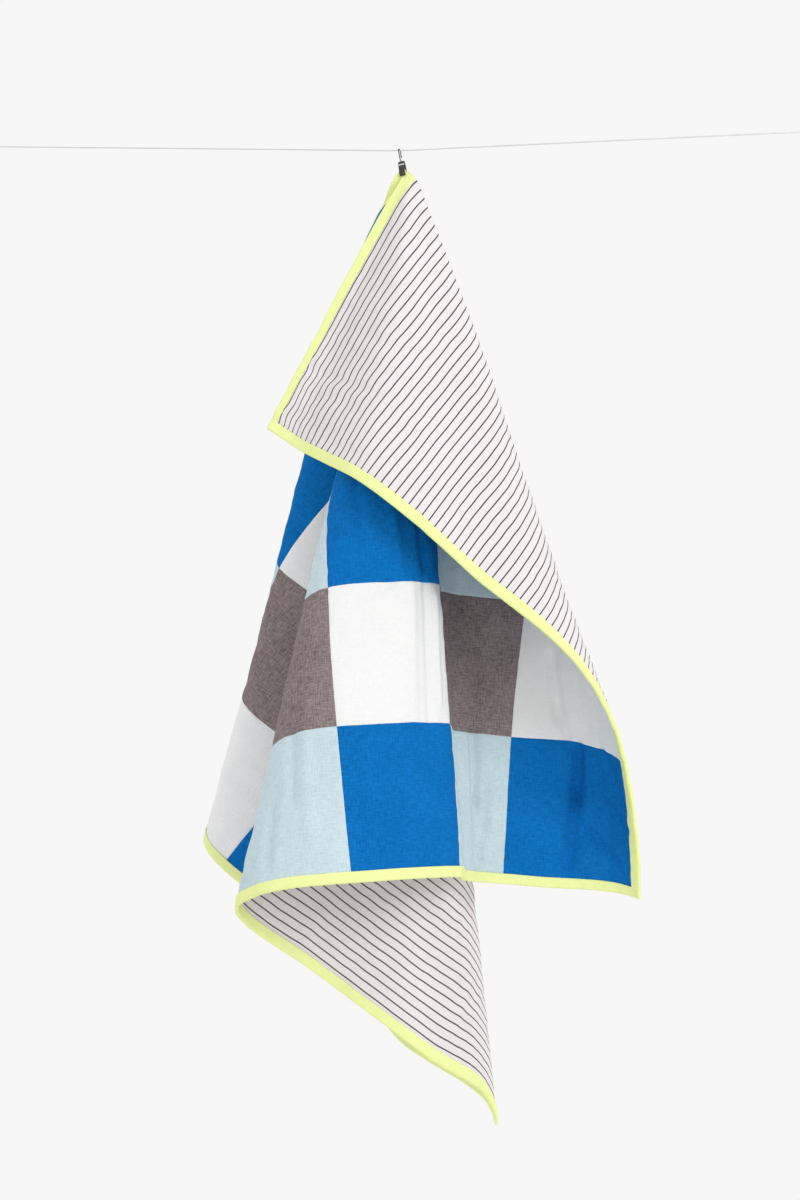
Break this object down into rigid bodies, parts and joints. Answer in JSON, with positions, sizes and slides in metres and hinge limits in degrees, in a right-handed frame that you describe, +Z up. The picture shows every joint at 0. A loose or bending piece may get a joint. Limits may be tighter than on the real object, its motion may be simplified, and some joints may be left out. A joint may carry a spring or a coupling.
{
  "type": "baby throw blanket on a clip and wire",
  "caption": "Two-sided baby throw with a checkerboard front and a striped back, bound in tape and hung in folds by one clip from a taut wire with a wall stud at each end.",
  "frame": {"origin": "the point of the blanket's long top edge that the clip grips, under the middle of the wire", "axes": "+X along the wire to the right in the picture, +Y away from the viewer, +Z up"},
  "size_m": [0.936, 0.3755, 1.1227],
  "materials": {
    "patchwork_cloth": "matte woven cotton",
    "striped_cloth": "matte woven cotton",
    "binding_tape": "matte woven tape",
    "clip_steel": "plated sheet steel",
    "wire_steel": "drawn steel wire",
    "stud_steel": "turned steel"
  },
  "bodies": {
    "root": {"front_panel": "patchwork_cloth", "backing_panel": "striped_cloth", "edge_tape": "binding_tape", "clip": "clip_steel", "wire": "wire_steel", "wire_stud_left": "stud_steel", "wire_stud_right": "stud_steel"}
  },
  "joints": []
}
